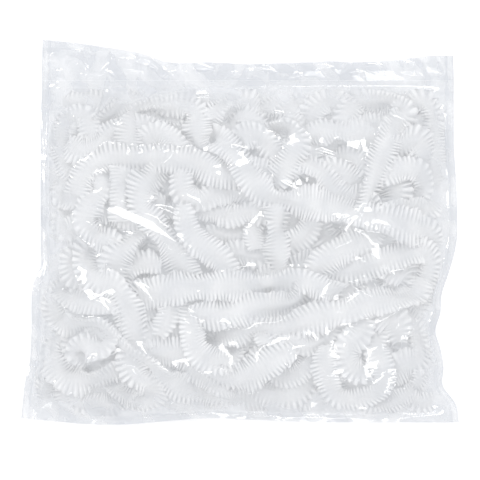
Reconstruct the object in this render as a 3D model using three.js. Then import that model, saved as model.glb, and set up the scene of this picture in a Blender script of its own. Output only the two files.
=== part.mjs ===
// Clear film bag packed with folded strip caps, lying flat on its back panel.
// Millimetres. +X across the bag, +Y up to its empty header, +Z up through the front panel.
import * as THREE from 'three';

// the filled bag
const BAG_WIDTH = 360;
const BAG_HEIGHT = 317;
const PILE_HEIGHT = 48; // table to the crest of the front panel
const FILM = 1;
const SEAM_RISE = 8; // the welded edges stand clear of the table
const SEAM_GAP = 0.3;
const WELD_BAND = 6; // flat margin outside the pouch
const HEADER_DROP = 33.5; // fold line below the highest corner
const SHOULDER = 70; // run over which the front panel climbs to its crest
const HEEL = 26; // run over which the back panel comes down to the table
const FOLD_Y = BAG_HEIGHT / 2 - HEADER_DROP;
const FOLD_GAP = 2.5; // lets the thick stand-in film turn about the fold line
const CREST = PILE_HEIGHT - SEAM_RISE - SEAM_GAP - FILM;

// how far each wandering edge lies inside the bag's box, every twentieth of the way
const LEFT_IN = [0, 1.5, 3.5, 7, 8, 8.5, 8.5, 9.5, 16, 16, 16, 16, 16, 16, 16, 16, 16, 17, 17, 17, 17.5];
const RIGHT_IN = [0, 2.5, 13, 12.5, 15, 19, 15, 14, 9, 4.5, 1.5, 1, 1.5, 2, 3, 4, 4, 4, 4, 4, 4.5];
const TOP_IN = [0, 1.5, 3.5, 6, 8.5, 12, 18, 19, 18.5, 19, 20, 19.5, 19, 18.5, 17.5, 18.5, 18, 17, 15, 13, 13];
const BOTTOM_IN = [5.5, 3.5, 2, 0.5, 0, 0.5, 2, 3.5, 5, 5.5, 4.5, 4, 3, 2.5, 2, 2, 2, 2, 2, 2, 2];

// the caps: pleated strips, folded flat
const CAP_COUNT = 50;
const CAP_LENGTH = 240;
const CAP_WIDTH = 19;
const CAP_DEPTH = 7.4;
const CAP_GAP = 0.32; // air kept between two caps
const FILM_CLEAR = 1.9; // air kept between a cap and the front film
const FLOOR_CLEAR = 0.6; // air kept between a cap and the back film
const RINGS = 17; // sections along one cap
const SIDES = 6; // corners of one section
const BEADS = 2 * RINGS - 1;
const SETTLE = 700;

// the uppermost caps: middle of the strip, heading there and turn along it, in degrees
const TOP_CAPS = [
  [-74, 94, 22, -113], [-122, 38, 82, 10], [-74, 30, 92, -15], [70, 78, -17, 20],
  [64, 49, -41, -10], [112, 48, -88, 12], [-130, -82, -114, 8], [124, -26, 0, -32],
  [66, -33, 207, 5], [37, -84, 210, -10], [92, -128, 0, -8], [128, -92, 88, -30],
  [-54, 64, -5, -42], [-132, 86, 235, 30], [14, 52, -80, 25], [34, 20, -28, 30],
  [-90, -60, 95, 40], [-28, -43, 3, -20], [-60, -112, 8, 25], [120, 98, -25, -40],
  [-16, 104, 12, -20], [-30, -86, 150, 45], [146, 20, 86, 30], [-112, -118, 30, -55],
];

function random(seed) {
  let a = seed;
  return () => {
    a = (a + 0x6d2b79f5) | 0;
    let t = Math.imul(a ^ (a >>> 15), 1 | a);
    t = (t + Math.imul(t ^ (t >>> 7), 61 | t)) ^ t;
    return ((t ^ (t >>> 14)) >>> 0) / 4294967296;
  };
}

const clamp = (v, low, high) => Math.min(Math.max(v, low), high);
const mix = (a, b, t) => a + (b - a) * t;

// smooth curve through evenly spaced values
function along(list, t) {
  const f = clamp(t, 0, 1) * (list.length - 1);
  const i = Math.min(Math.floor(f), list.length - 2);
  const k = f - i;
  const [a, b] = [list[i], list[i + 1]];
  const before = list[Math.max(i - 1, 0)];
  const after = list[Math.min(i + 2, list.length - 1)];
  const m = (b - before) / 2;
  const n = (after - a) / 2;
  return Math.max(0, ((2 * k - 3) * k * k + 1) * a + ((k - 2) * k + 1) * k * m
    + (3 - 2 * k) * k * k * b + (k - 1) * k * k * n);
}

const bottomEdge = (u) => -BAG_HEIGHT / 2 + along(BOTTOM_IN, u);
const topEdge = (u) => BAG_HEIGHT / 2 - along(TOP_IN, u);
const climb = (y, u) => (y - bottomEdge(u)) / (topEdge(u) - bottomEdge(u));
const leftEdge = (y) => -BAG_WIDTH / 2 + along(LEFT_IN, climb(y, 0));
const rightEdge = (y) => BAG_WIDTH / 2 - along(RIGHT_IN, climb(y, 1));
const across = (x, y) => (x - leftEdge(y)) / (rightEdge(y) - leftEdge(y));

// distance inside the weld bands, to the sides and to the two ends of the pouch
function inset(x, y) {
  const u = clamp(across(x, y), 0, 1);
  return [
    Math.min(x - leftEdge(y), rightEdge(y) - x) - WELD_BAND,
    Math.min(y - bottomEdge(u), FOLD_Y - y) - WELD_BAND,
  ];
}

const swell = (d) => 1 - (1 - clamp(d / SHOULDER, 0, 1)) ** 2.5;
const lift = (d) => (1 - clamp(d / HEEL, 0, 1)) ** 2;

// underside of the front panel and upper side of the back panel
function ceiling(x, y) {
  const [side, end] = inset(x, y);
  return SEAM_RISE + SEAM_GAP + CREST * swell(side) * swell(end);
}

function floor(x, y) {
  const [side, end] = inset(x, y);
  return FILM + (SEAM_RISE - FILM) * (1 - (1 - lift(side)) * (1 - lift(end)));
}

// caps relax in a space where their flat section is round: heights count FLAT times
const FLAT = CAP_WIDTH / CAP_DEPTH;
const APART = CAP_WIDTH + 1;
const LEAST_APART = 0.45 * CAP_WIDTH;
const EASE_ROOM = 0.5; // half the thickness that an eased strip keeps at the film
const STEP = CAP_LENGTH / (BEADS - 1);

function layCaps(next) {
  const caps = [];
  const low = FILM + CAP_DEPTH / 2 + 2;
  const high = PILE_HEIGHT - CAP_DEPTH / 2 - 3;
  const loose = CAP_COUNT - TOP_CAPS.length;
  const spread = [BAG_WIDTH / 360, BAG_HEIGHT / 317];
  for (let n = 0; n < CAP_COUNT; n++) {
    const top = TOP_CAPS[n - loose];
    const column = n % 5;
    const row = Math.floor(n / 5) % 4;
    const turns = top ? (top[3] * Math.PI) / 180 : (next() - 0.5) * 3.2;
    const sway = (next() - 0.5) * (top ? 0.5 : 1.6);
    const reach = top ? 105 : CAP_LENGTH;
    const centre = top
      ? [top[0] * spread[0], top[1] * spread[1]]
      : [(-0.36 + 0.18 * column + 0.12 * (next() - 0.5)) * BAG_WIDTH,
        (-0.36 + 0.22 * row + 0.14 * (next() - 0.5)) * BAG_HEIGHT];
    const heading = top ? (top[2] * Math.PI) / 180 : next() * Math.PI * 2;
    const level = mix(low, high, (n + 0.5) / CAP_COUNT);
    const points = [];
    for (let i = 0; i < BEADS; i++) points.push([0, 0, level]);
    const middle = (BEADS - 1) / 2;
    points[middle][0] = centre[0];
    points[middle][1] = centre[1];
    for (const way of [1, -1]) {
      for (let k = 1; k <= middle; k++) {
        const s = way * (k - 0.5) * STEP;
        const bend = turns * clamp(s / reach, -0.5, 0.5) + sway * Math.sin((s / CAP_LENGTH) * 7 + n);
        const here = points[middle + way * k];
        const last = points[middle + way * (k - 1)];
        here[0] = last[0] + way * STEP * Math.cos(heading + bend);
        here[1] = last[1] + way * STEP * Math.sin(heading + bend);
        here[2] = level - (top ? 9 : 0) * clamp((Math.abs(s) - 55) / 60, 0, 1);
      }
    }
    caps.push({ points, home: points.map((p) => [...p]), hold: top ? 0.03 : 0 });
  }
  return caps;
}

function keepInside(p, half) {
  const side = WELD_BAND + half + 2;
  p[1] = clamp(p[1], bottomEdge(clamp(across(p[0], p[1]), 0, 1)) + side, FOLD_Y - side);
  p[0] = clamp(p[0], leftEdge(p[1]) + side, rightEdge(p[1]) - side);
  let top = Infinity;
  let bottom = 0;
  for (const [a, b] of [[half, 0], [-half, 0], [0, half], [0, -half], [0, 0]]) {
    const share = a || b ? 0.45 : 1; // the section is thin out at its tips
    const deep = (CAP_DEPTH / 2) * share + FILM_CLEAR;
    top = Math.min(top, ceiling(p[0] + a * 0.85, p[1] + b * 0.85) - deep);
    bottom = Math.max(bottom, floor(p[0] + a * 0.85, p[1] + b * 0.85) + deep - 1);
  }
  p[2] = bottom < top ? clamp(p[2], bottom, top) : (bottom + top) / 2;
}

function stretch(a, b, rest, firmness) {
  const d = [b[0] - a[0], b[1] - a[1], b[2] - a[2]];
  const l = Math.hypot(...d) || 1e-6;
  const k = ((l - rest) / l) * 0.5 * firmness;
  for (let i = 0; i < 3; i++) {
    a[i] += d[i] * k;
    b[i] -= d[i] * k;
  }
}

function settle(caps) {
  const beads = [];
  for (const [n, cap] of caps.entries()) {
    cap.skip = [2, 4].map((w) => cap.points.slice(w).map((p, i) =>
      Math.hypot(p[0] - cap.points[i][0], p[1] - cap.points[i][1])));
    for (const [i, p] of cap.points.entries()) beads.push({ p, n, i });
  }
  for (let round = 0; round < SETTLE; round++) {
    const done = round / SETTLE;
    const grip = done < 0.4 ? 1 : done < 0.8 ? 0.3 : 0;
    for (const { points, home, hold, skip } of caps) {
      for (const [w, rests] of skip.entries()) {
        const gap = 2 + 2 * w;
        rests.forEach((rest, i) => stretch(points[i], points[i + gap], rest, 0.22));
      }
      for (let i = 1; i < BEADS - 1; i++) {
        points[i][2] += 0.12 * (points[i - 1][2] + points[i + 1][2] - 2 * points[i][2]);
      }
      for (let pass = 0; pass < 2; pass++) {
        for (let i = 1; i < BEADS; i++) stretch(points[i - 1], points[i], STEP, 1);
      }
      points.forEach((p, i) => {
        for (let k = 0; k < 3; k++) p[k] += (home[i][k] - p[k]) * hold * grip * (k === 2 ? 0.3 : 1);
      });
    }
    beads.sort((a, b) => a.p[0] - b.p[0]);
    for (let a = 0; a < beads.length; a++) {
      const { p, n, i } = beads[a];
      for (let b = a + 1; b < beads.length && beads[b].p[0] < p[0] + APART; b++) {
        const other = beads[b];
        const dx = other.p[0] - p[0];
        const dy = other.p[1] - p[1];
        if (dy > APART || dy < -APART) continue;
        if (other.n === n && Math.abs(other.i - i) < 6) continue;
        const dz = (other.p[2] - p[2]) * FLAT;
        const l = Math.sqrt(dx * dx + dy * dy + dz * dz) + 1e-6;
        if (l >= APART) continue;
        const push = ((APART - l) / l) * mix(0.26, 0.36, done);
        p[0] -= dx * push * 0.7;
        p[1] -= dy * push * 0.7;
        p[2] -= (dz * push * 1.2) / FLAT;
        other.p[0] += dx * push * 0.7;
        other.p[1] += dy * push * 0.7;
        other.p[2] += (dz * push * 1.2) / FLAT;
      }
    }
    for (const { p } of beads) keepInside(p, CAP_WIDTH / 2);
  }
}

// shortest distance between two straight pieces, in the stretched space
function pieceDistance(p, q, r, s) {
  const stretchZ = (v) => new THREE.Vector3(v[0], v[1], v[2] * FLAT);
  const [a, b, c, d] = [p, q, r, s].map(stretchZ);
  const u = b.clone().sub(a);
  const v = d.clone().sub(c);
  const w = a.clone().sub(c);
  const [uu, uv, vv, uw, vw] = [u.dot(u), u.dot(v), v.dot(v), u.dot(w), v.dot(w)];
  const det = uu * vv - uv * uv;
  let m = det > 1e-9 ? clamp((uv * vw - vv * uw) / det, 0, 1) : 0.5;
  let k = clamp((uv * m + vw) / vv, 0, 1);
  m = clamp((uv * k - uw) / uu, 0, 1);
  k = clamp((uv * m + vw) / vv, 0, 1);
  return a.addScaledVector(u, m).distanceTo(c.addScaledVector(v, k));
}

// calls back with every two straight pieces that lie near each other
function eachNear(pieces, found) {
  const reach = 4 * CAP_WIDTH + 20;
  for (let a = 0; a < pieces.length; a++) {
    const one = pieces[a];
    const [p, q] = one.ends;
    for (let b = a + 1; b < pieces.length; b++) {
      const two = pieces[b];
      const [r, s] = two.ends;
      if (one.cap === two.cap && two.i - one.i < 3) continue;
      if (Math.abs(p[0] + q[0] - r[0] - s[0]) > reach) continue;
      if (Math.abs(p[1] + q[1] - r[1] - s[1]) > reach) continue;
      found(one, two, pieceDistance(p, q, r, s));
    }
  }
}

// the largest round section every cap can have without touching its neighbours
function fitSections(caps) {
  const pieces = [];
  for (const cap of caps) {
    cap.rings = cap.points.filter((_, i) => i % 2 === 0);
    cap.radii = cap.rings.map((_, i) => {
      const end = Math.min(i, RINGS - 1 - i);
      return (CAP_WIDTH / 2) * (end === 0 ? 0.72 : end === 1 ? 0.92 : 1);
    });
    for (let i = 0; i < RINGS - 1; i++) pieces.push({ cap, i, ends: [cap.rings[i], cap.rings[i + 1]] });
  }
  // strips still passing through each other are eased apart inside the film, the upper one upwards
  for (let round = 0, tight = true; tight && round < 80; round++) {
    tight = false;
    eachNear(pieces, (one, two, distance) => {
      const short = LEAST_APART - distance;
      if (short <= 0) return;
      tight = true;
      const middle = ({ ends }) => ends[0][2] + ends[1][2];
      const up = middle(one) > middle(two) ? 1 : -1;
      for (const end of one.ends) end[2] += (up * short * 0.3) / FLAT;
      for (const end of two.ends) end[2] -= (up * short * 0.3) / FLAT;
      for (const end of [...one.ends, ...two.ends]) {
        const lowest = floor(end[0], end[1]) + FLOOR_CLEAR + EASE_ROOM;
        const highest = ceiling(end[0], end[1]) - FILM_CLEAR - EASE_ROOM;
        end[2] = lowest < highest ? clamp(end[2], lowest, highest) : (lowest + highest) / 2;
      }
    });
  }
  eachNear(pieces, (one, two, distance) => {
    const most = (distance - CAP_GAP * FLAT) / 2;
    for (const { cap, i } of [one, two]) {
      cap.radii[i] = Math.min(cap.radii[i], most);
      cap.radii[i + 1] = Math.min(cap.radii[i + 1], most);
    }
  });
}

// corners of one section: square to the strip in the stretched space, then flattened back
function section(cap, i, radius) {
  const { rings } = cap;
  const before = rings[Math.max(i - 1, 0)];
  const after = rings[Math.min(i + 1, RINGS - 1)];
  const run = new THREE.Vector3(after[0] - before[0], after[1] - before[1],
    (after[2] - before[2]) * FLAT).normalize();
  const wide = new THREE.Vector3(-run.y, run.x, 0).normalize();
  const deep = new THREE.Vector3().crossVectors(run, wide);
  const corners = [];
  for (let k = 0; k < SIDES; k++) {
    const turn = (k / SIDES) * Math.PI * 2;
    const out = wide.clone().multiplyScalar(Math.cos(turn) * radius)
      .addScaledVector(deep, Math.sin(turn) * radius);
    corners.push([rings[i][0] + out.x, rings[i][1] + out.y, rings[i][2] + out.z / FLAT]);
  }
  return corners;
}

function fitFilm(cap) {
  for (let i = 0; i < RINGS; i++) {
    const free = (c) => c[2] < ceiling(c[0], c[1]) - FILM_CLEAR && c[2] > floor(c[0], c[1]) + FLOOR_CLEAR;
    for (let tries = 0; tries < 24; tries++) {
      if (section(cap, i, cap.radii[i]).every(free)) break;
      cap.radii[i] *= 0.93;
    }
  }
}

function material(name, color, opacity) {
  return new THREE.MeshStandardMaterial({
    name, color, opacity, transparent: opacity < 1, roughness: opacity < 1 ? 0.15 : 0.9,
  });
}

function mesh(name, geometry, look) {
  geometry.deleteAttribute('normal');
  geometry.deleteAttribute('uv');
  geometry.computeVertexNormals();
  const made = new THREE.Mesh(geometry, look);
  made.name = name;
  return made;
}

// one cap: a cylinder whose every ring is moved onto the strip's own section
function capMesh(cap, name) {
  const geometry = new THREE.CylinderGeometry(1, 1, 1, SIDES, RINGS - 1);
  const at = geometry.attributes.position;
  const sections = cap.rings.map((_, i) => section(cap, i, cap.radii[i]));
  for (let v = 0; v < at.count; v++) {
    const i = Math.round((at.getY(v) + 0.5) * (RINGS - 1));
    const middle = Math.hypot(at.getX(v), at.getZ(v)) < 0.5;
    const k = Math.round((Math.atan2(at.getX(v), at.getZ(v)) / (Math.PI * 2)) * SIDES + SIDES) % SIDES;
    at.setXYZ(v, ...(middle ? cap.rings[i] : sections[i][k]));
  }
  return mesh(name, geometry, material('cap_white', 0xf4f5f6, 1));
}

// one film panel: a thin box bent onto the pouch, its cells closer together at the edges
function panelMesh(name, cells, place, thickness) {
  const geometry = new THREE.BoxGeometry(1, 1, 1, cells[0], cells[1], 1);
  const at = geometry.attributes.position;
  const bunch = (t) => 0.55 * t + 0.45 * (0.5 - 0.5 * Math.cos(Math.PI * t));
  for (let v = 0; v < at.count; v++) {
    const u = bunch(at.getX(v) + 0.5);
    const [x, y, z] = place(u, at.getY(v) + 0.5, bunch);
    at.setXYZ(v, x, y, z + (at.getZ(v) + 0.5) * thickness);
  }
  return mesh(name, geometry, material('clear_film', 0xe4ebf2, 0.35));
}

function onPouch(u, v, bunch) {
  const y = mix(bottomEdge(u), FOLD_Y - FOLD_GAP, bunch(v));
  return [mix(leftEdge(y), rightEdge(y), u), y];
}

function frontPlace(u, v, bunch) {
  const [x, y] = onPouch(u, v, bunch);
  return [x, y, ceiling(x, y)];
}

function backPlace(u, v, bunch) {
  const [x, y] = onPouch(u, v, bunch);
  return [x, y, floor(x, y) - FILM];
}

// the empty header: two plies lying together, slack between its corners
function headerPlace(u, v) {
  const y = mix(FOLD_Y + 0.4, topEdge(u), v);
  const slack = 1.6 * v * Math.sin(u * 17) + 1.2 * v * Math.sin(u * 31 + 1);
  return [mix(leftEdge(y), rightEdge(y), u), y, SEAM_RISE + (SEAM_GAP - FILM) / 2 + slack];
}

const bag = new THREE.Group();
bag.name = 'cap_bag';
bag.add(panelMesh('back_film', [14, 12], backPlace, FILM));
bag.add(panelMesh('front_film', [24, 18], frontPlace, FILM));
bag.add(panelMesh('header_film', [24, 2], headerPlace, FILM));

const caps = layCaps(random(20));
settle(caps);
fitSections(caps);
for (const [n, cap] of caps.entries()) {
  fitFilm(cap);
  bag.add(capMesh(cap, `cap_${String(n + 1).padStart(2, '0')}`));
}

export default bag;
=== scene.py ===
import bpy
import numpy as np
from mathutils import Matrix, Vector
from mathutils.geometry import delaunay_2d_cdt


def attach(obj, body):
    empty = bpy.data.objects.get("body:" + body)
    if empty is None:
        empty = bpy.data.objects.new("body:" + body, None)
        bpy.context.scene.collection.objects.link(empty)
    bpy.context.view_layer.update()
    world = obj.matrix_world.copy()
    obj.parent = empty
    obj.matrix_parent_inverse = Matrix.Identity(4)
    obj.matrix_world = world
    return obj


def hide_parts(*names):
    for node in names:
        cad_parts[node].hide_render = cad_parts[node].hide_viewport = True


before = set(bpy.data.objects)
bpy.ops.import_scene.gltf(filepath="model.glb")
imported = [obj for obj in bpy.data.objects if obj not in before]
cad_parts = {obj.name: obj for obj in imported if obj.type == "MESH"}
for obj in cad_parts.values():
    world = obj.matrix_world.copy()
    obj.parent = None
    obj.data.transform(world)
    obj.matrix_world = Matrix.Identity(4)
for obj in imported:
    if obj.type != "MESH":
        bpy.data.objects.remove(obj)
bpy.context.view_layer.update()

# --- The table and the lamps -------------------------------------------------------------
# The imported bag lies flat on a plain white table, seen from straight above.
# One soft box and two narrow strip boxes hang over it, so the film throws crisp glints.

TABLE_SIZE = 16.0
TABLE_TOP = -0.001
EYE_HEIGHT = 1.6
EYE_Y = -0.0063
FIELD = 0.3972
SENSOR = 36.0


def new_object(name, data):
    obj = bpy.data.objects.new(name, data)
    bpy.context.scene.collection.objects.link(obj)
    return obj


def quad_mesh(name, points, quads):
    """Smooth mesh from an (n, 3) array and an (m, 4) array of corner numbers."""
    mesh = bpy.data.meshes.new(name)
    mesh.vertices.add(len(points))
    mesh.vertices.foreach_set("co", np.asarray(points, np.float32).ravel())
    mesh.loops.add(quads.size)
    mesh.loops.foreach_set("vertex_index", quads.astype(np.int32).ravel())
    mesh.polygons.add(len(quads))
    mesh.polygons.foreach_set("loop_start", np.arange(0, quads.size, 4, dtype=np.int32))
    mesh.polygons.foreach_set("use_smooth", np.full(len(quads), True))
    mesh.update(calc_edges=True)
    mesh.validate()
    return mesh


def shader_nodes(name):
    """A new material with only its output node: material, nodes, links and that node."""
    material = bpy.data.materials.new(name)
    material.use_nodes = True
    nodes = material.node_tree.nodes
    nodes.clear()
    out = nodes.new("ShaderNodeOutputMaterial")
    return material, nodes, material.node_tree.links, out


eye = bpy.data.cameras.new("eye")
eye.sensor_width = SENSOR
eye.lens = SENSOR * EYE_HEIGHT / FIELD
eye_object = new_object("eye", eye)
eye_object.location = (0.0, EYE_Y, EYE_HEIGHT)
bpy.context.scene.camera = eye_object
bpy.context.scene.view_settings.view_transform = "Standard"
bpy.context.scene.view_settings.gamma = 1.5

half = TABLE_SIZE / 2
table_corners = [(x, y, TABLE_TOP) for x, y in ((-half, -half), (half, -half), (half, half), (-half, half))]
table = new_object("table", quad_mesh("table", table_corners, np.array([[0, 1, 2, 3]])))
paper, nodes, links, out = shader_nodes("white_paper")
coat = nodes.new("ShaderNodeBsdfPrincipled")
coat.inputs["Base Color"].default_value = (0.84, 0.84, 0.84, 1)
coat.inputs["Roughness"].default_value = 0.9
coat.inputs["Emission Color"].default_value = (1, 1, 1, 1)
coat.inputs["Emission Strength"].default_value = 0.30
links.new(coat.outputs[0], out.inputs[0])
table.data.materials.append(paper)

# a pale room with softly lighter and darker parts, which the film mirrors
world = bpy.data.worlds.new("studio")
bpy.context.scene.world = world
world.use_nodes = True
world_nodes = world.node_tree.nodes
world_links = world.node_tree.links
sky = world_nodes["Background"]
sky.inputs["Strength"].default_value = 0.81
direction = world_nodes.new("ShaderNodeTexCoord")
patches = world_nodes.new("ShaderNodeTexNoise")
patches.inputs["Scale"].default_value = 1.7
patches.inputs["Detail"].default_value = 1
shade = world_nodes.new("ShaderNodeValToRGB")
shade.color_ramp.elements[0].position = 0.42
shade.color_ramp.elements[0].color = (0.80, 0.81, 0.83, 1)
shade.color_ramp.elements[1].position = 0.60
shade.color_ramp.elements[1].color = (1.20, 1.20, 1.21, 1)
world_links.new(direction.outputs["Generated"], patches.inputs["Vector"])
world_links.new(patches.outputs["Fac"], shade.inputs["Fac"])
world_links.new(shade.outputs["Color"], sky.inputs["Color"])


def soft_box(name, width, length, place, watts):
    """A rectangular lamp that faces the middle of the table."""
    lamp = bpy.data.lights.new(name, "AREA")
    lamp.shape = "RECTANGLE"
    lamp.size, lamp.size_y = width, length
    lamp.energy = watts
    obj = new_object(name, lamp)
    obj.location = place
    obj.rotation_euler = (-Vector(place)).to_track_quat("-Z", "Y").to_euler()


soft_box("key_box", 0.44, 0.34, (0.28, 0.74, 1.15), 5.0)
soft_box("side_box", 0.09, 0.32, (-0.80, 0.12, 1.05), 2.6)
soft_box("low_strip", 0.60, 0.10, (0.15, -0.62, 1.05), 1.6)

# --- The back panel ----------------------------------------------------------------------
# One sheet of clear soft film, folded along the bottom and welded up both sides.
# The lower half lies on the table and turns up to meet the welds all round.

BAG_WIDTH, BAG_HEIGHT = 0.360, 0.317
FOLD_Y = 0.125
SEAM_Z = 0.00815
WELD_BAND = 0.006
SHOULDER, HEEL = 0.070, 0.026
CREST = 0.0387
WIDE_FACETS, FINE_FACETS = 0.026, 0.009
# within this of the turned-up edge the film lies flat, so that the panels and header meet
FLAT_AT_FOLD = 0.02
BACK_LOOSE = 0.03
# how far each edge of the bag wanders in from its box, every twentieth of the way, in mm
LEFT_IN = [0, 1.5, 3.5, 7, 8, 8.5, 8.5, 9.5, 16, 16, 16, 16, 16, 16, 16, 16, 16, 17, 17, 17, 17.5]
RIGHT_IN = [0, 2.5, 13, 12.5, 15, 19, 15, 14, 9, 4.5, 1.5, 1, 1.5, 2, 3, 4, 4, 4, 4, 4, 4.5]
TOP_IN = [0, 1.5, 3.5, 6, 8.5, 12, 18, 19, 18.5, 19, 20, 19.5, 19, 18.5, 17.5, 18.5, 18, 17, 15, 13, 13]
BOTTOM_IN = [5.5, 3.5, 2, 0.5, 0, 0.5, 2, 3.5, 5, 5.5, 4.5, 4, 3, 2.5, 2, 2, 2, 2, 2, 2, 2]


def curve_at(values, t):
    """Points on the smooth curve through evenly spaced values, t from 0 to 1."""
    values = np.asarray(values, float)
    n = len(values)
    f = np.clip(t, 0, 1) * (n - 1)
    i = np.clip(f.astype(int), 0, n - 2)
    k = (f - i).reshape(f.shape + (1,) * (values.ndim - 1))
    a, b = values[i], values[i + 1]
    before, after = values[np.maximum(i - 1, 0)], values[np.minimum(i + 2, n - 1)]
    m, q = (b - before) / 2, (after - a) / 2
    return ((2 * k - 3) * k * k + 1) * a + ((k - 2) * k + 1) * k * m \
        + (3 - 2 * k) * k * k * b + (k - 1) * k * k * q


def bottom_edge(u):
    return -BAG_HEIGHT / 2 + curve_at(BOTTOM_IN, u) / 1000


def top_edge(u):
    return BAG_HEIGHT / 2 - curve_at(TOP_IN, u) / 1000


def side_edges(y):
    """Left and right edge of the bag at the heights y."""
    ends = [(bottom_edge(np.array(u)), top_edge(np.array(u))) for u in (0.0, 1.0)]
    left = -BAG_WIDTH / 2 + curve_at(LEFT_IN, (y - ends[0][0]) / (ends[0][1] - ends[0][0])) / 1000
    right = BAG_WIDTH / 2 - curve_at(RIGHT_IN, (y - ends[1][0]) / (ends[1][1] - ends[1][0])) / 1000
    return left, right


def inset(x, y):
    """Distance inside the welds, to the sides and to the pouch's two ends."""
    left, right = side_edges(y)
    u = np.clip((x - left) / (right - left), 0, 1)
    return (np.minimum(x - left, right - x) - WELD_BAND,
            np.minimum(y - bottom_edge(u), FOLD_Y - y) - WELD_BAND)


def pouch_top(x, y):
    side, end = (1 - (1 - np.clip(d / SHOULDER, 0, 1)) ** 2.5 for d in inset(x, y))
    return SEAM_Z + CREST * side * end


def pouch_bottom(x, y):
    side, end = ((1 - np.clip(d / HEEL, 0, 1)) ** 2 for d in inset(x, y))
    return SEAM_Z * (1 - (1 - side) * (1 - end))


def fold_line(u):
    return FOLD_Y + 0 * u


# the grid of places over the bag on which film heights are worked out
CELL = 0.001
GRID_X = np.arange(-0.1850, 0.1851, CELL)
GRID_Y = np.arange(-0.1625, 0.1626, CELL)
LAND_X, LAND_Y = np.meshgrid(GRID_X, GRID_Y)


def crumple(rng, spacing):
    """Crumpled film: flat facets between random folds, heights from -1 to 1, over the grid."""
    xs = np.arange(GRID_X[0] - 2 * spacing, GRID_X[-1] + 2.1 * spacing, spacing)
    ys = np.arange(GRID_Y[0] - 2 * spacing, GRID_Y[-1] + 2.1 * spacing, spacing)
    spots = np.array([(x, y) for x in xs for y in ys])
    spots += rng.uniform(-0.48, 0.48, spots.shape) * spacing
    found = delaunay_2d_cdt([Vector(p) for p in spots], [], [], 0, 1e-9)
    corners = np.array([tuple(p) for p in found[0]])
    heights = rng.uniform(-1, 1, len(corners))
    land = np.zeros(LAND_X.shape)
    for a, b, c in found[2]:
        p, q, r = corners[a], corners[b], corners[c]
        lo, hi = np.minimum(np.minimum(p, q), r), np.maximum(np.maximum(p, q), r)
        i0, i1 = (np.searchsorted(GRID_X, v) for v in (lo[0], hi[0] + CELL))
        j0, j1 = (np.searchsorted(GRID_Y, v) for v in (lo[1], hi[1] + CELL))
        x, y = LAND_X[j0:j1, i0:i1], LAND_Y[j0:j1, i0:i1]
        if x.size == 0:
            continue
        det = (q[1] - r[1]) * (p[0] - r[0]) + (r[0] - q[0]) * (p[1] - r[1])
        if abs(det) < 1e-15:
            continue
        s = ((q[1] - r[1]) * (x - r[0]) + (r[0] - q[0]) * (y - r[1])) / det
        t = ((r[1] - p[1]) * (x - r[0]) + (p[0] - r[0]) * (y - r[1])) / det
        inside = (s >= -1e-9) & (t >= -1e-9) & (s + t <= 1 + 1e-9)
        value = s * heights[a] + t * heights[b] + (1 - s - t) * heights[c]
        land[j0:j1, i0:i1][inside] = value[inside]
    return land


def read_land(land, x, y):
    """The grid's value at any points, by straight interpolation."""
    fx = np.clip((x - GRID_X[0]) / CELL, 0, len(GRID_X) - 1.001)
    fy = np.clip((y - GRID_Y[0]) / CELL, 0, len(GRID_Y) - 1.001)
    i, j = fx.astype(int), fy.astype(int)
    fx, fy = fx - i, fy - j
    return (land[j, i] * (1 - fx) + land[j, i + 1] * fx) * (1 - fy) \
        + (land[j + 1, i] * (1 - fx) + land[j + 1, i + 1] * fx) * fy


def film_grid(low, high, across, along):
    """Even film points between two edges of the bag: x, y, both (along + 1, across + 1)."""
    u, v = np.meshgrid(np.linspace(0, 1, across + 1), np.linspace(0, 1, along + 1))
    y = low(u) + (high(u) - low(u)) * v
    left, right = side_edges(y)
    return left + (right - left) * u, y


def film_mesh(name, x, y, z, milk_and_facet_shade=0):
    """A film panel, which also carries how milky it is at the weld lines, plus any painted facet shade it
    is given.
    """
    rows, columns = x.shape
    i, k = np.meshgrid(np.arange(rows - 1), np.arange(columns - 1), indexing="ij")
    a = i * columns + k
    quads = np.stack([a, a + 1, a + columns + 1, a + columns], -1).reshape(-1, 4)
    mesh = quad_mesh(name, np.stack([x, y, z], -1).reshape(-1, 3), quads)
    left, right = side_edges(y)
    inside = np.minimum(x - left, right - x)
    # the weld attribute holds the weld lines' milkiness plus the painted facet shade
    weld = np.clip(1.5 - np.minimum(inside, np.abs(inside - WELD_BAND)) / 0.0009, 0, 1) + milk_and_facet_shade
    mesh.attributes.new("weld", "FLOAT", "POINT").data.foreach_set(
        "value", weld.astype(np.float32).ravel())
    return mesh


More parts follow.
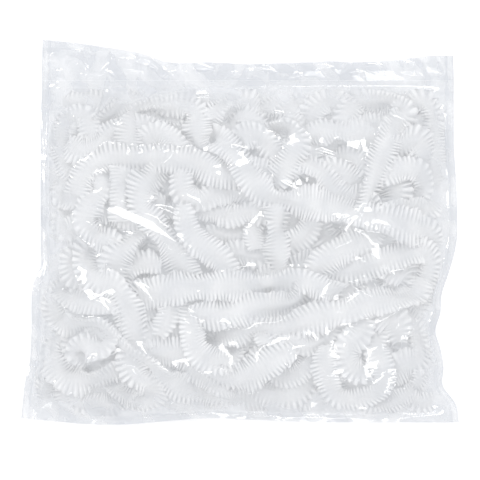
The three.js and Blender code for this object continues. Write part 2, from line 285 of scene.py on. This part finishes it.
def clear_film():
    """Soft clear film: thin enough to see through, a little milky, and bright where it shines."""
    material, nodes, links, out = shader_nodes("soft_clear_film")
    skin = nodes.new("ShaderNodeBsdfPrincipled")
    skin.inputs["Base Color"].default_value = (0.565, 0.60, 0.66, 1)
    # pressed weld lines are milkier than the open film; the weld attribute also brings in the painted facet
    # shade
    weld = nodes.new("ShaderNodeAttribute")
    weld.attribute_name = "weld"
    film_alpha = nodes.new("ShaderNodeMath")
    film_alpha.operation = "MULTIPLY_ADD"
    film_alpha.inputs[1].default_value = 0.20
    # handled film clouds and creases unevenly
    handled = nodes.new("ShaderNodeTexNoise")
    handled.inputs["Scale"].default_value = 38
    handled.inputs["Detail"].default_value = 3
    handled.inputs["Distortion"].default_value = 1.2
    milk_and_facet_shade = nodes.new("ShaderNodeMapRange")
    milk_and_facet_shade.inputs["From Min"].default_value = 0.38
    milk_and_facet_shade.inputs["From Max"].default_value = 0.62
    milk_and_facet_shade.inputs["To Min"].default_value = 0.22
    milk_and_facet_shade.inputs["To Max"].default_value = 0.42
    links.new(handled.outputs["Fac"], milk_and_facet_shade.inputs["Value"])
    links.new(weld.outputs["Fac"], film_alpha.inputs[0])
    links.new(milk_and_facet_shade.outputs["Result"], film_alpha.inputs[2])
    links.new(film_alpha.outputs[0], skin.inputs["Alpha"])
    skin.inputs["Roughness"].default_value = 0.07
    skin.inputs["IOR"].default_value = 2.1
    skin.inputs["Specular IOR Level"].default_value = 1.0
    place = nodes.new("ShaderNodeTexCoord")
    ripple = nodes.new("ShaderNodeTexNoise")
    ripple.inputs["Scale"].default_value = 160
    ripple.inputs["Detail"].default_value = 2
    bump = nodes.new("ShaderNodeBump")
    bump.inputs["Strength"].default_value = 0.25
    bump.inputs["Distance"].default_value = 0.0004
    links.new(place.outputs["Object"], ripple.inputs["Vector"])
    links.new(place.outputs["Object"], handled.inputs["Vector"])
    links.new(ripple.outputs["Fac"], bump.inputs["Height"])
    links.new(bump.outputs[0], skin.inputs["Normal"])
    links.new(skin.outputs[0], out.inputs[0])
    return material


film = clear_film()
rng = np.random.default_rng(7)
facets_wide = crumple(rng, WIDE_FACETS)
facets_fine = crumple(rng, FINE_FACETS)
# painted shade: each small facet between creases gets a tone from the way it slopes, so facets tilted one
# way look milkier than the next
facet_slope_shade = np.clip(0.5 + sum(np.gradient(facets_fine)) * FINE_FACETS / CELL * 0.55
                     + sum(np.gradient(facets_wide)) * WIDE_FACETS / CELL * 0.35, 0, 1)
x, y = film_grid(bottom_edge, fold_line, 200, 160)
side, end = inset(x, y)
loose = np.clip(1 - np.minimum(side, end) / BACK_LOOSE, 0, 1)
# its wrinkles sag away from the caps
sag = np.abs(0.0007 * read_land(facets_wide, x, y) + 0.0004 * read_land(facets_fine, x, y))
z = pouch_bottom(x, y) - loose * sag * np.clip((FOLD_Y - y) / FLAT_AT_FOLD, 0, 1)
back_panel = new_object("back_panel", film_mesh("back_panel", x, y, np.maximum(z, 0.0)))
back_panel.data.materials.append(film)
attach(back_panel, "bag")
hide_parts("back_film")

# --- The strip caps ----------------------------------------------------------------------
# Each cap is a round of thin white non-woven, pleated into a flat strip.
# Its two long edges are gathered, so they stand out in short ruffles,
# and both ends narrow to a pressed tab.

PLEATS = 76
# the first caps by number lie under the rest
UNDER_CAPS = 26
RUFFLE_LIFT = 0.0027
RUFFLE_REACH = 0.0050
BODY_SHARE = 0.50
EDGE_FOLD = 0.0005
EDGE_TILT = 0.0024
EDGE_LEAN = 0.0013
BAND_CREASE = 0.0008
GATHER = 0.00026
TAB_RUN = 0.010
KEEP_OFF_WELD = 0.001
# how far out the smooth middle band reaches, from 0 at the middle to 1 at the ruffles' edge
BAND = 0.48
# one pleat, station by station: a sharp ridge and a wide valley
PLEAT_SHAPE = (1.0, 0.40, -0.45, -0.80, -0.45, 0.40)


def smooth_path(values, count):
    return curve_at(values, np.linspace(0, 1, count))


def wander(rng, count, step):
    """Smooth random numbers from -1 to 1, changing about every `step` places."""
    return smooth_path(rng.uniform(-1, 1, max(int(count / step) + 3, 4)), count)


def cap_rings(node):
    """Rings of corner numbers round one plain strip, end to end, and the place of each corner."""
    mesh = node.data
    co = np.zeros(len(mesh.vertices) * 3, np.float32)
    mesh.vertices.foreach_get("co", co)
    co = co.reshape(-1, 3).astype(float)
    key = np.round(co * 1e5).astype(np.int64)
    spots, weld = np.unique(key, axis=0, return_inverse=True)
    weld = weld.ravel()
    place = np.zeros((len(spots), 3))
    place[weld] = co
    near = [set() for _ in spots]
    faces = [[int(weld[v]) for v in p.vertices] for p in mesh.polygons]
    for face in faces:
        for a in face:
            near[a].update(b for b in face if b != a)

    def far_from(start):
        """The corner furthest from start, and how many steps each corner is from it."""
        seen = {start: 0}
        queue = [start]
        for a in queue:
            for b in near[a]:
                if b not in seen:
                    seen[b] = seen[a] + 1
                    queue.append(b)
        return max(seen, key=lambda k: (seen[k], -k)), seen

    tip, _ = far_from(0)
    # the flat end face is the one that turns away from the rest of the strip
    around = place[[k for k, d in far_from(tip)[1].items() if d <= 4]].mean(0)
    away = place[tip] - around
    away /= np.linalg.norm(away)
    end = set()
    best = max((f for f in faces if tip in f), key=lambda f: face_turn(place, f, away))
    normal = face_normal(place, best)
    queue = [best]
    used = [False] * len(faces)
    while queue:
        here = queue.pop()
        end.update(here)
        for k, other in enumerate(faces):
            if not used[k] and len(set(here) & set(other)) == 2 \
                    and abs(face_normal(place, other) @ normal) > 0.999:
                used[k] = True
                queue.append(other)
    rings = []
    seen = set(end)
    level = set(end)
    while level:
        rings.append(sorted(level))
        level = {b for a in level for b in near[a]} - seen
        seen |= level
    return rings, place


def face_normal(place, face):
    a, b, c = (place[k] for k in face[:3])
    n = np.cross(b - a, c - a)
    return n / (np.linalg.norm(n) + 1e-18)


def face_turn(place, face, away):
    return abs(face_normal(place, face) @ away)


def cap_path(node):
    """Middles, half widths and half depths of the sections of one plain strip, end to end."""
    rings, place = cap_rings(node)
    rings = [r for r in rings if len(r) >= 5]
    middles = np.array([(place[r].max(0) + place[r].min(0)) / 2 if len(r) != 6 else place[r].mean(0)
                        for r in rings])
    runs = np.gradient(middles, axis=0)
    sides = np.stack([-runs[:, 1], runs[:, 0], np.zeros(len(runs))], 1)
    sides /= np.linalg.norm(sides, axis=1)[:, None]
    widths = np.array([np.abs((place[r] - m) @ s).max() for r, m, s in zip(rings, middles, sides)])
    depths = np.array([(place[r][:, 2].max() - place[r][:, 2].min()) / 2 for r in rings])
    return middles, widths, depths


def cap_mesh(name, node, rng, free):
    """One pleated strip. Caps that lie free on top twist, and those under others lie pressed flat."""
    middles, widths, depths = cap_path(node)
    each = len(PLEAT_SHAPE)
    count = PLEATS * each + 1
    path = smooth_path(middles, count * 2)
    length = np.r_[0, np.cumsum(np.linalg.norm(np.diff(path, axis=0), axis=1))]
    # pleats crowd and spread along the strip
    steps = 1 + 0.25 * wander(rng, count - 1, 16 * each)
    even = np.r_[0, np.cumsum(steps)] / steps.sum() * length[-1]
    path = np.stack([np.interp(even, length, path[:, k]) for k in range(3)], 1)
    wide = np.interp(even, length, smooth_path(widths, count * 2))
    deep = np.interp(even, length, smooth_path(depths, count * 2))
    run = np.gradient(path, axis=0)
    run /= np.linalg.norm(run, axis=1)[:, None]
    side = np.stack([-run[:, 1], run[:, 0], np.zeros(count)], 1)
    side /= np.linalg.norm(side, axis=1)[:, None]
    up = np.cross(run, side)
    roll = (0.12 + 0.93 * free) * wander(rng, count, 11 * each)[:, None]
    side, up = side * np.cos(roll) + up * np.sin(roll), up * np.cos(roll) - side * np.sin(roll)

    reach = wide + (0.35 + 0.65 * free) * RUFFLE_REACH * (0.75 + 0.25 * wander(rng, count, 5 * each))
    body = reach * BODY_SHARE * (1 + 0.22 * wander(rng, count, 11 * each))
    ends = np.clip(np.minimum(even, even[-1] - even) / TAB_RUN, 0, 1)
    ends = ends * ends * (3 - 2 * ends)
    wave = np.r_[np.tile(PLEAT_SHAPE, PLEATS), PLEAT_SHAPE[0]]
    pleat = np.r_[np.repeat(np.arange(PLEATS), each), PLEATS - 1]
    # every pleat stands up, reaches out and leans a little differently at each edge
    lift = [(0.6 + 0.4 * free) * RUFFLE_LIFT * rng.uniform(0.55, 1.25, PLEATS)[pleat] for _ in range(2)]
    crisp = [0.95 + 0.65 * wander(rng, count, 8 * each) for _ in range(2)]
    length_of = [1 + 0.20 * wander(rng, count, 5 * each) + rng.uniform(-0.09, 0.09, PLEATS)[pleat]
                 for _ in range(2)]
    tilt = [EDGE_TILT * wander(rng, count, 5 * each)
            + rng.uniform(-EDGE_TILT / 4, EDGE_TILT / 4, PLEATS)[pleat] for _ in range(2)]
    lean = [EDGE_LEAN * wander(rng, count, 7 * each) for _ in range(2)]
    across = (-1, -0.86, -0.68, -BAND, -BAND / 2, 0, BAND / 2, BAND, 0.68, 0.86, 1)
    rows, painted_shades = [], []
    for layer in (1, -1):  # upper layer left to right, then lower layer back again
        for x in across if layer == 1 else across[::-1]:
            off = abs(x)
            edge = 1 if x > 0 else 0
            fringe = max(0.0, (off - BAND) / (1 - BAND))
            inner = body * 0.92
            if off <= BAND:
                out = x / BAND * inner
                crease = BAND_CREASE * layer * np.cos(x * 26 + 4 * wander(rng, count, 9 * each))
                gather = GATHER * (off / BAND) ** 2 * wave
                rise = deep * (0.80 - 0.42 * (off / BAND) ** 2.2) * layer + gather + crease * (off < BAND)
                # painted highlight and shade: the band's pleats are painted lighter on their ridges and
                # darker in their valleys, more so towards its edges
                painted_shade = 0.38 + 0.16 * wave * (off / BAND) ** 2
                slide = 0 * even
            else:
                out = inner + (reach * length_of[edge] - inner) * fringe * (1 + 0.13 * wave)
                out = out * np.sign(x)
                rise = lift[edge] * (0.6 + 0.4 * crisp[edge]) * fringe ** 0.6 * wave + lean[edge] * fringe
                rise = rise + EDGE_FOLD * layer * (1 - 0.3 * fringe)
                rise = rise + deep * 0.30 * layer * (1 - fringe) ** 2 * (1 - 0.75 * (off < 0.6))
                # painted highlight and shade: each ruffle's ridge is painted white and its valley grey,
                # more strongly where the ruffle is crisp
                painted_shade = np.clip(0.48 + 0.68 * crisp[edge] * wave, 0.02, 1.15)
                slide = tilt[edge] * fringe
            press = 0.25 + 0.75 * ends
            rows.append(path + side * (out * (0.72 + 0.28 * ends))[:, None]
                        + up * (rise * press)[:, None] + run * slide[:, None])
            painted_shades.append(painted_shade * np.ones(count))
    loop = np.stack(rows, 1)  # stations, 22 points round
    n = loop.shape[1]
    i, k = np.meshgrid(np.arange(count - 1), np.arange(n), indexing="ij")
    a, b = i * n + k, i * n + (k + 1) % n
    quads = np.stack([a, b, b + n, a + n], -1).reshape(-1, 4)
    end_quads = []
    for start in (0, (count - 1) * n):
        for k in range(n // 2 - 1):
            corners = [start + k, start + k + 1, start + n - 2 - k, start + n - 1 - k]
            end_quads.append(corners if start == 0 else corners[::-1])
    quads = np.vstack([quads[:, ::-1], np.array(end_quads)])
    mesh = quad_mesh(name, tucked_in(loop.reshape(-1, 3)), quads)
    # each point carries its painted ridge highlight and valley shade
    painted_pleat_shade = mesh.attributes.new("painted_pleat_shade", "FLOAT", "POINT")
    painted_pleat_shade.data.foreach_set("value", np.stack(painted_shades, 1).astype(np.float32).ravel())
    return mesh


def tucked_in(points):
    """Ruffles that would reach past the film are pressed back inside it."""
    x, y, z = points.T
    u = np.clip((x + BAG_WIDTH / 2) / BAG_WIDTH, 0, 1)
    y = np.clip(y, bottom_edge(u) + WELD_BAND + KEEP_OFF_WELD, FOLD_Y - WELD_BAND - KEEP_OFF_WELD)
    left, right = side_edges(y)
    x = np.clip(x, left + WELD_BAND + KEEP_OFF_WELD, right - WELD_BAND - KEEP_OFF_WELD)
    low, high = pouch_bottom(x, y) + 0.0004, pouch_top(x, y) + 0.0006
    z = np.clip(z, low, np.maximum(high, low + 0.0003))
    return np.stack([x, y, z], 1)


def non_woven():
    """Thin spun-bonded white cloth, pressed with a fine diamond of bond points."""
    material, nodes, links, out = shader_nodes("white_non_woven")
    cloth = nodes.new("ShaderNodeBsdfPrincipled")
    place = nodes.new("ShaderNodeTexCoord")
    fibres = nodes.new("ShaderNodeTexNoise")
    fibres.inputs["Scale"].default_value = 900
    fibres.inputs["Detail"].default_value = 4
    cloud = nodes.new("ShaderNodeTexNoise")
    cloud.inputs["Scale"].default_value = 55
    cloud.inputs["Detail"].default_value = 3
    painted_pleat_shade = nodes.new("ShaderNodeAttribute")
    painted_pleat_shade.attribute_name = "painted_pleat_shade"
    cloud_and_pleat_shade = nodes.new("ShaderNodeMath")
    cloud_and_pleat_shade.operation = "MULTIPLY_ADD"
    cloud_and_pleat_shade.inputs[1].default_value = 0.35
    painted_shade = nodes.new("ShaderNodeValToRGB")
    painted_shade.color_ramp.elements[0].position = 0.15
    painted_shade.color_ramp.elements[0].color = (0.57, 0.578, 0.59, 1)
    painted_shade.color_ramp.elements[1].position = 0.95
    painted_shade.color_ramp.elements[1].color = (0.985, 0.985, 0.985, 1)
    points = nodes.new("ShaderNodeTexVoronoi")
    points.inputs["Scale"].default_value = 780
    points.inputs["Randomness"].default_value = 0.15
    press = nodes.new("ShaderNodeMath")
    press.operation = "MULTIPLY_ADD"
    press.inputs[1].default_value = 0.6
    bump = nodes.new("ShaderNodeBump")
    bump.inputs["Strength"].default_value = 0.35
    bump.inputs["Distance"].default_value = 0.0002
    for node in (fibres, cloud, points):
        links.new(place.outputs["Object"], node.inputs["Vector"])
    # painted highlight and shade: the cloth is painted whiter on the pleat ridges and greyer in the
    # valleys, on top of a random cloudy tone
    links.new(cloud.outputs["Fac"], cloud_and_pleat_shade.inputs[0])
    links.new(painted_pleat_shade.outputs["Fac"], cloud_and_pleat_shade.inputs[2])
    links.new(cloud_and_pleat_shade.outputs[0], painted_shade.inputs["Fac"])
    links.new(points.outputs["Distance"], press.inputs[0])
    links.new(fibres.outputs["Fac"], press.inputs[2])
    links.new(press.outputs[0], bump.inputs["Height"])
    links.new(bump.outputs[0], cloth.inputs["Normal"])
    links.new(painted_shade.outputs["Color"], cloth.inputs["Base Color"])
    cloth.inputs["Roughness"].default_value = 0.6
    cloth.inputs["Specular IOR Level"].default_value = 0.5
    cloth.inputs["Sheen Weight"].default_value = 0.15
    # a faint painted glow, standing in for light passed on through the thin cloth, so the shaded inside of
    # the pile isn't dark
    cloth.inputs["Emission Color"].default_value = (1, 1, 1, 1)
    cloth.inputs["Emission Strength"].default_value = 0.055
    links.new(cloth.outputs[0], out.inputs[0])
    return material


cap_cloth = non_woven()
cap_names = sorted(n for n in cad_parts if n.startswith("cap_"))
cap_objects = []
for number, node_name in enumerate(cap_names):
    rng = np.random.default_rng(100 + number)
    cap = new_object(node_name.replace("cap_", "strip_cap_"),
                     cap_mesh(node_name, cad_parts[node_name], rng, free=number >= UNDER_CAPS))
    cap.data.materials.append(cap_cloth)
    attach(cap, "bag")
    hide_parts(node_name)
    cap_objects.append(cap)

# --- The front panel ---------------------------------------------------------------------
# The upper half of the same film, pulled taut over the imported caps.
# It tents from ruffle to ruffle, and stays loose and crumpled near the welds and corners.

TENT_ROUNDS = 1400
CALM_ROUNDS = 90
AIR = 0.0003
FILM_LIFT = 0.00012
FRONT_LOOSE = 0.045
WRINKLE_FADE = 0.008
FACET_SHADE_MARGIN = 0.022
RIB_HEIGHT = 0.0014
RIBS_END = 0.018
# flat facets where the film is pulled tight between corners of the pile, along a sharp fold:
# fold start x y, fold end x y, height over the pile and width of the facet, in mm
FACETS = [
    (-114, 19, -46, -11, 3.4, 9), (-118, 12, -98, 10, 1.8, 3), (-70, 20, -48, 12, 1.6, 3),
    (-94, -34, -66, -60, 1.8, 5), (-96, -86, -72, -101, 2.0, 6), (-106, -101, -80, -118, 1.6, 5),
    (62, -119, 106, -121, 1.6, 3), (104, -148, 134, -155, 1.4, 4), (84, -2, 98, 14, 1.8, 4),
    (98, 15, 110, 16, 2.2, 6), (106, 8, 126, 2, 1.8, 5), (80, -36, 108, -46, 1.8, 3),
    (84, -60, 104, -46, 1.4, 3), (-37, 112, -24, 113, 2.2, 9), (-150, 98, -124, 94, 1.4, 3),
    (-116, 122, -102, 112, 1.4, 3), (24, 98, 52, 94, 1.4, 3), (-64, 62, -44, 70, 1.2, 3),
    (32, 40, 48, 32, 1.2, 3), (120, 96, 138, 88, 1.4, 3), (-8, -30, 16, -27, 1.2, 2),
    (-20, -72, 6, -79, 1.4, 4), (-150, -42, -140, -50, 1.5, 4), (4, -131, 40, -129, 1.3, 3),
    (-58, -140, -24, -139, 1.3, 3), (-10, 70, 8, 66, 1.2, 3), (62, 65, 80, 60, 1.2, 3),
    (-140, 44, -128, 36, 1.3, 4), (40, -96, 56, -92, 1.3, 3), (-46, 30, -30, 22, 1.3, 4),
    (-152, 60, -146, 40, 1.4, 3), (136, -60, 146, -80, 1.4, 4),
]
# the way such a facet leans, so that it mirrors the key box: rise for each metre along x and y
LEAN = (-0.115, -0.295)


def blurred(land):
    """The land once smoothed, half of each place taken from its four neighbours."""
    near = np.pad(land, 1, mode="edge")
    return (near[:-2, 1:-1] + near[2:, 1:-1] + near[1:-1, :-2] + near[1:-1, 2:] + 4 * land) / 8


def spread(land):
    """The highest of each place and its eight neighbours."""
    near = np.pad(land, 1, mode="edge")
    rows = np.maximum(np.maximum(near[:-2], near[1:-1]), near[2:])
    return np.maximum(np.maximum(rows[:, :-2], rows[:, 1:-1]), rows[:, 2:])


def pile_top():
    """Height of the caps' upper side over the grid."""
    land = np.full(LAND_X.shape, -1.0)
    for cap in cap_objects:
        co = np.zeros(len(cap.data.vertices) * 3, np.float32)
        cap.data.vertices.foreach_get("co", co)
        co = co.reshape(-1, 3)
        i = np.clip(np.round((co[:, 0] - GRID_X[0]) / CELL).astype(int), 0, len(GRID_X) - 1)
        j = np.clip(np.round((co[:, 1] - GRID_Y[0]) / CELL).astype(int), 0, len(GRID_Y) - 1)
        np.maximum.at(land, (j, i), co[:, 2])
    return land


def facet(x, y, start, end, middle_z, wide):
    """Heights of one leaning flat facet on the upper side of the fold from start to end."""
    length = np.linalg.norm(end - start)
    run = (end - start) / length
    middle = (start + end) / 2
    s = (x - middle[0]) * run[0] + (y - middle[1]) * run[1]
    d = (y - middle[1]) * run[0] - (x - middle[0]) * run[1]
    plane = middle_z + LEAN[0] * (x - middle[0]) + LEAN[1] * (y - middle[1])
    # the facet narrows away from its fold, more at one end than at the other
    taper = length / 2 * (1 - np.clip(d / wide, 0, 1) * np.where(s > 0, 0.75, 0.35))
    beyond = np.clip(np.abs(s) - taper, 0, None)
    return plane - 1.1 * np.clip(-d, 0, None) - 0.8 * beyond - 0.8 * np.clip(d - wide, 0, None)


pile = spread(pile_top())
side, end = inset(LAND_X, LAND_Y)
pouch = np.minimum(side, end) > 0
loose = np.clip(1 - np.minimum(side, end) / FRONT_LOOSE, 0, 1)
folds = 0.0010 * facets_wide + 0.0006 * facets_fine
tent = np.where(pouch, np.maximum(pile, SEAM_Z) + 0.001, SEAM_Z)
for _ in range(TENT_ROUNDS):
    middle = tent[1:-1, 1:-1]
    mean = (tent[:-2, 1:-1] + tent[2:, 1:-1] + tent[1:-1, :-2] + tent[1:-1, 2:]) / 4
    tent[1:-1, 1:-1] = np.where(pouch[1:-1, 1:-1], np.maximum(mean, pile[1:-1, 1:-1] + AIR), middle)
fade = np.clip(np.minimum(side, end) / WRINKLE_FADE, 0, 1)
tent = tent + np.where(pouch, folds * (0.75 + 0.7 * loose) * fade, 0)
tent = np.where(pouch, np.maximum(tent, pile + AIR), tent)
tent = blurred(tent)
tent = np.where(pouch, np.maximum(tent, pile + AIR / 2), tent)
calm = tent
for _ in range(CALM_ROUNDS):
    calm = blurred(calm)
for x0, y0, x1, y1, high, wide in np.array(FACETS) / 1000:
    middle_z = read_land(calm, np.array((x0 + x1) / 2), np.array((y0 + y1) / 2)) + high
    roof = facet(LAND_X, LAND_Y, np.array((x0, y0)), np.array((x1, y1)), middle_z, wide)
    tent = np.where(pouch, np.maximum(tent, roof), tent)

x, y = film_grid(bottom_edge, fold_line, 320, 260)
z = read_land(tent, x, y)
side, end = inset(x, y)
margin = np.clip(-np.minimum(side, end) / WELD_BAND, 0, 1) * np.clip((FOLD_Y - y) / FLAT_AT_FOLD, 0, 1)
z = z + margin * (0.0016 * read_land(facets_wide, x, y) + 0.0005 * read_land(facets_fine, x, y))
# long folds run down the left weld, where the film is drawn in
left, right = side_edges(y)
from_left = x - left
ribs = np.abs((from_left * 230 + 2.5 * read_land(facets_wide, x, y * 0.25)) % 2 - 1) - 0.5
z = z + RIB_HEIGHT * ribs * np.clip(from_left / 0.002, 0, 1) \
    * np.clip((RIBS_END - from_left) / 0.006, 0, 1)
z = z + FILM_LIFT
z[-1] = SEAM_Z
# painted facet shade, in a band along the welds and stronger on the left side
near_weld = np.clip(1 - np.minimum(side, end) / FACET_SHADE_MARGIN, 0, 1) * np.where(x < 0, 1.6, 1.0)
milk_and_facet_shade = near_weld * read_land(facet_slope_shade, x, y)
front_panel = new_object("front_panel", film_mesh("front_panel", x, y, z, milk_and_facet_shade))
front_panel.data.materials.append(film)
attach(front_panel, "bag")
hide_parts("front_film")

# --- The empty header --------------------------------------------------------------------
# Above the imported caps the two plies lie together, empty, with a wavy upper edge.
# They fold along the line where the pile ends, and crackle into small sharp facets.

HINGE_GAP = 0.00004
HEADER_RUN = 0.008
HEADER_FOLDS = 0.0011
# small facets and narrow creases: fold start x y, fold end x y, height and width, in mm
CRACKLES = [
    (-157, 143, -151, 151, 0.9, 2), (-150, 152, -141, 150, 0.9, 2), (-138, 149, -124, 151, 1.0, 3),
    (-154, 141, -146, 129, 1.0, 2.5), (-134, 141, -127, 130, 1.3, 5), (-115, 132, -105, 142, 1.0, 2.5),
    (-103, 144, -84, 142, 1.3, 5), (-88, 141, -70, 135, 1.2, 4), (-114, 134, -102, 127, 1.0, 2.5),
    (-96, 131, -80, 131, 0.8, 2), (-62, 129, -51, 134, 0.9, 2.5), (-38, 134, -22, 134, 1.6, 8),
    (-12, 130, 8, 131, 0.8, 2), (14, 135, 34, 132, 0.9, 3), (40, 129, 58, 130, 0.8, 2),
    (62, 134, 84, 137, 0.9, 3), (92, 131, 108, 129, 0.8, 2), (104, 139, 122, 137, 0.9, 3),
    (130, 142, 146, 139, 0.9, 3), (134, 131, 150, 129, 0.8, 2),
]

x, y = film_grid(lambda u: fold_line(u) + HINGE_GAP, top_edge, 320, 44)
rise = np.clip((y - FOLD_Y - HINGE_GAP) / HEADER_RUN, 0, 1)
wide_folds, fine_folds = read_land(facets_wide, x, y), read_land(facets_fine, x, y)
crumpled = HEADER_FOLDS * wide_folds + 0.0008 * fine_folds
crackled = crumpled
for x0, y0, x1, y1, high, wide in np.array(CRACKLES) / 1000:
    under = HEADER_FOLDS * read_land(facets_wide, np.array((x0 + x1) / 2), np.array((y0 + y1) / 2))
    roof = facet(x, y, np.array((x0, y0)), np.array((x1, y1)), under + high, wide)
    crackled = np.maximum(crackled, roof)
for name, shape in (("header_front", crackled + 0.0005), ("header_back", -0.8 * crumpled - 0.0009)):
    z = SEAM_Z + rise * shape
    # each ply also gets painted shade from the slope of its small facets
    ply = new_object(name, film_mesh(name, x, y, z, 1.2 * read_land(facet_slope_shade, x, y)))
    ply.data.materials.append(film)
    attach(ply, "header")
    if name == "header_front":
        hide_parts("header_film")
